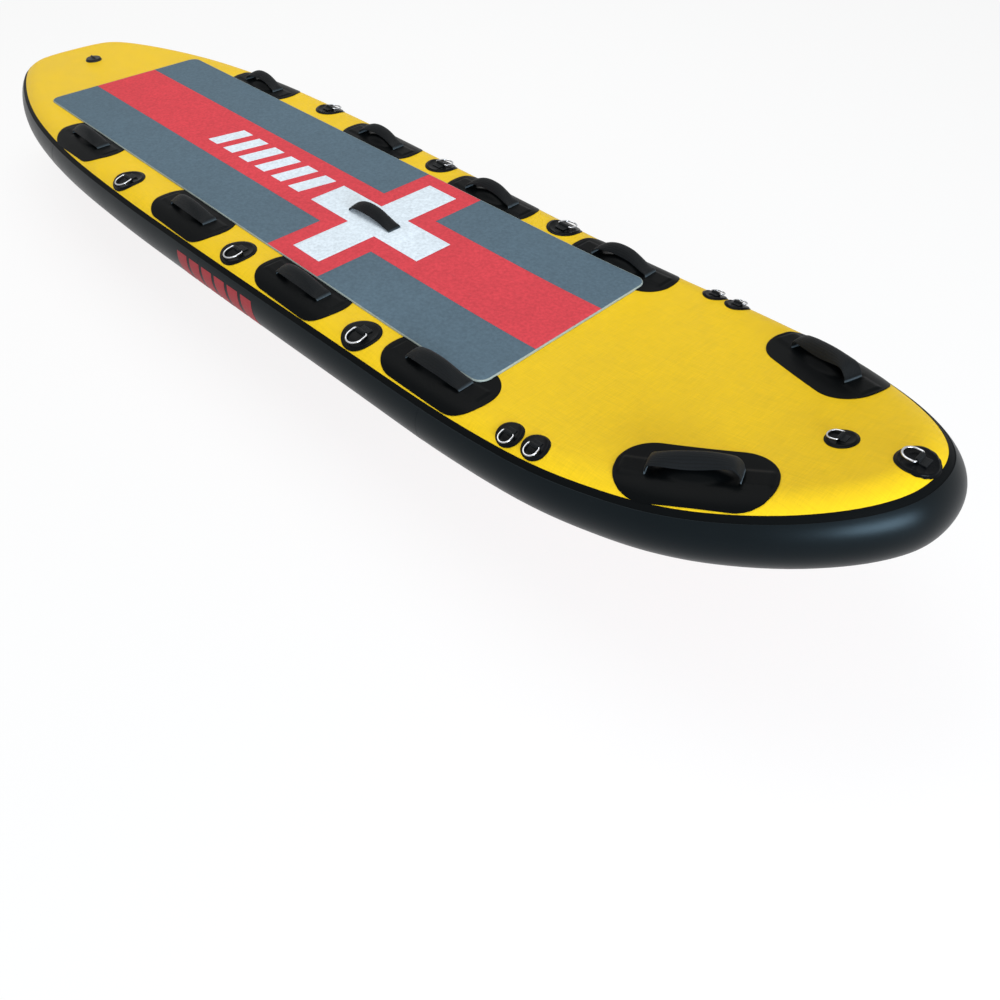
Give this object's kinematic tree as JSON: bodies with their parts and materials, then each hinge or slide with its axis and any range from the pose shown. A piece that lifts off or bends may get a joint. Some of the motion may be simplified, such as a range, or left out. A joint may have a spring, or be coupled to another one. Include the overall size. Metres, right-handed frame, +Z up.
{
  "type": "inflatable rescue board",
  "caption": "Inflatable lifeguard rescue board with a cushioned deck pad marked with a white cross, webbing grab handles, tie-down D-rings, inflation valve and a slide-in fin.",
  "frame": {"origin": "on the floor that the fin's tip touches, under the middle of the board's length and beam", "axes": "+X along the board to the nose, +Y to port, +Z up from the deck"},
  "size_m": [3.4959, 0.84, 0.5367],
  "materials": {
    "core": "drop-stitch threads between two fabrics, under the skins",
    "yellow_deck": "fine woven texture under a satin coating",
    "red_bottom": "smooth satin coating",
    "black_rail": "satin coating with a faint sheen",
    "black_patch": "satin coated fabric",
    "black_webbing": "ribbed webbing",
    "grey_foam": "fine embossed soft foam",
    "red_foam": "fine embossed soft foam",
    "white_foam": "fine embossed soft foam",
    "ring_steel": "polished stainless steel",
    "fin_steel": "stainless steel",
    "black_moulding": "moulded plastic",
    "valve_moulding": "moulded plastic",
    "valve_button": "moulded plastic"
  },
  "bodies": {
    "board": {"drop_stitch_core": "core", "deck_skin": "yellow_deck", "bottom_skin": "red_bottom", "rail_band": "black_rail", "handle_patch_port_1": "black_patch", "handle_strap_port_1": "black_webbing", "handle_patch_port_2": "black_patch", "handle_strap_port_2": "black_webbing", "handle_patch_port_3": "black_patch", "handle_strap_port_3": "black_webbing", "handle_patch_port_4": "black_patch", "handle_strap_port_4": "black_webbing", "handle_patch_nose_port": "black_patch", "handle_strap_nose_port": "black_webbing", "handle_patch_starboard_1": "black_patch", "handle_strap_starboard_1": "black_webbing", "handle_patch_starboard_2": "black_patch", "handle_strap_starboard_2": "black_webbing", "handle_patch_starboard_3": "black_patch", "handle_strap_starboard_3": "black_webbing", "handle_patch_starboard_4": "black_patch", "handle_strap_starboard_4": "black_webbing", "handle_patch_nose_starboard": "black_patch", "handle_strap_nose_starboard": "black_webbing", "pad_grey_sheet": "grey_foam", "pad_red_panel": "red_foam", "pad_white_cross": "white_foam", "handle_strap_centre": "black_webbing", "d_ring_patch_port_1": "black_patch", "d_ring_patch_port_2": "black_patch", "d_ring_patch_port_3": "black_patch", "d_ring_patch_small_port_1": "black_patch", "d_ring_patch_small_port_2": "black_patch", "d_ring_patch_starboard_1": "black_patch", "d_ring_patch_starboard_2": "black_patch", "d_ring_patch_starboard_3": "black_patch", "d_ring_patch_small_starboard_1": "black_patch", "d_ring_patch_small_starboard_2": "black_patch", "d_ring_patch_nose_small": "black_patch", "d_ring_patch_nose_large": "black_patch", "fin_box": "black_moulding", "valve_body": "valve_moulding"},
    "d_ring_port_1": {"d_ring_port_1": "ring_steel"},
    "d_ring_port_2": {"d_ring_port_2": "ring_steel"},
    "d_ring_port_3": {"d_ring_port_3": "ring_steel"},
    "d_ring_small_port_1": {"d_ring_small_port_1": "ring_steel"},
    "d_ring_small_port_2": {"d_ring_small_port_2": "ring_steel"},
    "d_ring_starboard_1": {"d_ring_starboard_1": "ring_steel"},
    "d_ring_starboard_2": {"d_ring_starboard_2": "ring_steel"},
    "d_ring_starboard_3": {"d_ring_starboard_3": "ring_steel"},
    "d_ring_small_starboard_1": {"d_ring_small_starboard_1": "ring_steel"},
    "d_ring_small_starboard_2": {"d_ring_small_starboard_2": "ring_steel"},
    "d_ring_nose_small": {"d_ring_nose_small": "ring_steel"},
    "d_ring_nose_large": {"d_ring_nose_large": "ring_steel"},
    "fin": {"fin": "black_moulding", "fin_nut_plate": "fin_steel"},
    "fin_screw": {"fin_screw": "fin_steel"},
    "valve_cap": {"valve_cap": "valve_moulding"},
    "valve_plunger": {"valve_plunger": "valve_button"}
  },
  "joints": [
    {"name": "d_ring_port_1_swing", "type": "hinge", "parent": "board", "child": "d_ring_port_1", "pos_m": [0.56391, 0.32996, 0.38691], "axis": [1, 0, 0], "range_deg": [0, 175]},
    {"name": "d_ring_port_2_swing", "type": "hinge", "parent": "board", "child": "d_ring_port_2", "pos_m": [0.06084, 0.33855, 0.38729], "axis": [1, 0, -0.0013], "range_deg": [0, 175]},
    {"name": "d_ring_port_3_swing", "type": "hinge", "parent": "board", "child": "d_ring_port_3", "pos_m": [-0.51497, 0.35217, 0.38698], "axis": [1, 0, 0.001], "range_deg": [0, 175]},
    {"name": "d_ring_small_port_1_swing", "type": "hinge", "parent": "board", "child": "d_ring_small_port_1", "pos_m": [1.03991, 0.33621, 0.39754], "axis": [0.9983, 0, 0.0582], "range_deg": [0, 175]},
    {"name": "d_ring_small_port_2_swing", "type": "hinge", "parent": "board", "child": "d_ring_small_port_2", "pos_m": [1.10404, 0.33137, 0.40362], "axis": [0.9976, 0, 0.069], "range_deg": [0, 175]},
    {"name": "d_ring_starboard_1_swing", "type": "hinge", "parent": "board", "child": "d_ring_starboard_1", "pos_m": [0.56391, -0.32996, 0.38691], "axis": [-1, 0, 0], "range_deg": [0, 175]},
    {"name": "d_ring_starboard_2_swing", "type": "hinge", "parent": "board", "child": "d_ring_starboard_2", "pos_m": [0.06084, -0.33855, 0.38729], "axis": [-1, 0, 0.0013], "range_deg": [0, 175]},
    {"name": "d_ring_starboard_3_swing", "type": "hinge", "parent": "board", "child": "d_ring_starboard_3", "pos_m": [-0.51497, -0.35217, 0.38698], "axis": [-1, 0, -0.001], "range_deg": [0, 175]},
    {"name": "d_ring_small_starboard_1_swing", "type": "hinge", "parent": "board", "child": "d_ring_small_starboard_1", "pos_m": [1.03991, -0.33621, 0.39754], "axis": [-0.9983, 0, -0.0582], "range_deg": [0, 175]},
    {"name": "d_ring_small_starboard_2_swing", "type": "hinge", "parent": "board", "child": "d_ring_small_starboard_2", "pos_m": [1.10404, -0.33137, 0.40362], "axis": [-0.9976, 0, -0.069], "range_deg": [0, 175]},
    {"name": "d_ring_nose_small_swing", "type": "hinge", "parent": "board", "child": "d_ring_nose_small", "pos_m": [1.53414, 0, 0.49121], "axis": [0, 1, 0], "range_deg": [0, 175]},
    {"name": "d_ring_nose_large_swing", "type": "hinge", "parent": "board", "child": "d_ring_nose_large", "pos_m": [1.67018, 0, 0.53223], "axis": [0, 1, 0], "range_deg": [0, 175]},
    {"name": "fin_position", "type": "slide", "parent": "board", "child": "fin", "axis": [1, 0, 0], "range_m": [-0.025, 0.004]},
    {"name": "fin_screw_turn", "type": "hinge", "parent": "fin", "child": "fin_screw", "pos_m": [-1.328, 0, 0.2085], "axis": [0, 0, 1], "continuous": true},
    {"name": "valve_cap_lift", "type": "slide", "parent": "board", "child": "valve_cap", "axis": [0, 0, 1], "range_m": [0, 0.06]},
    {"name": "valve_plunger_push", "type": "slide", "parent": "board", "child": "valve_plunger", "axis": [0, 0, 1], "range_m": [-0.005, 0], "stiffness_N_per_m": 200}
  ]
}
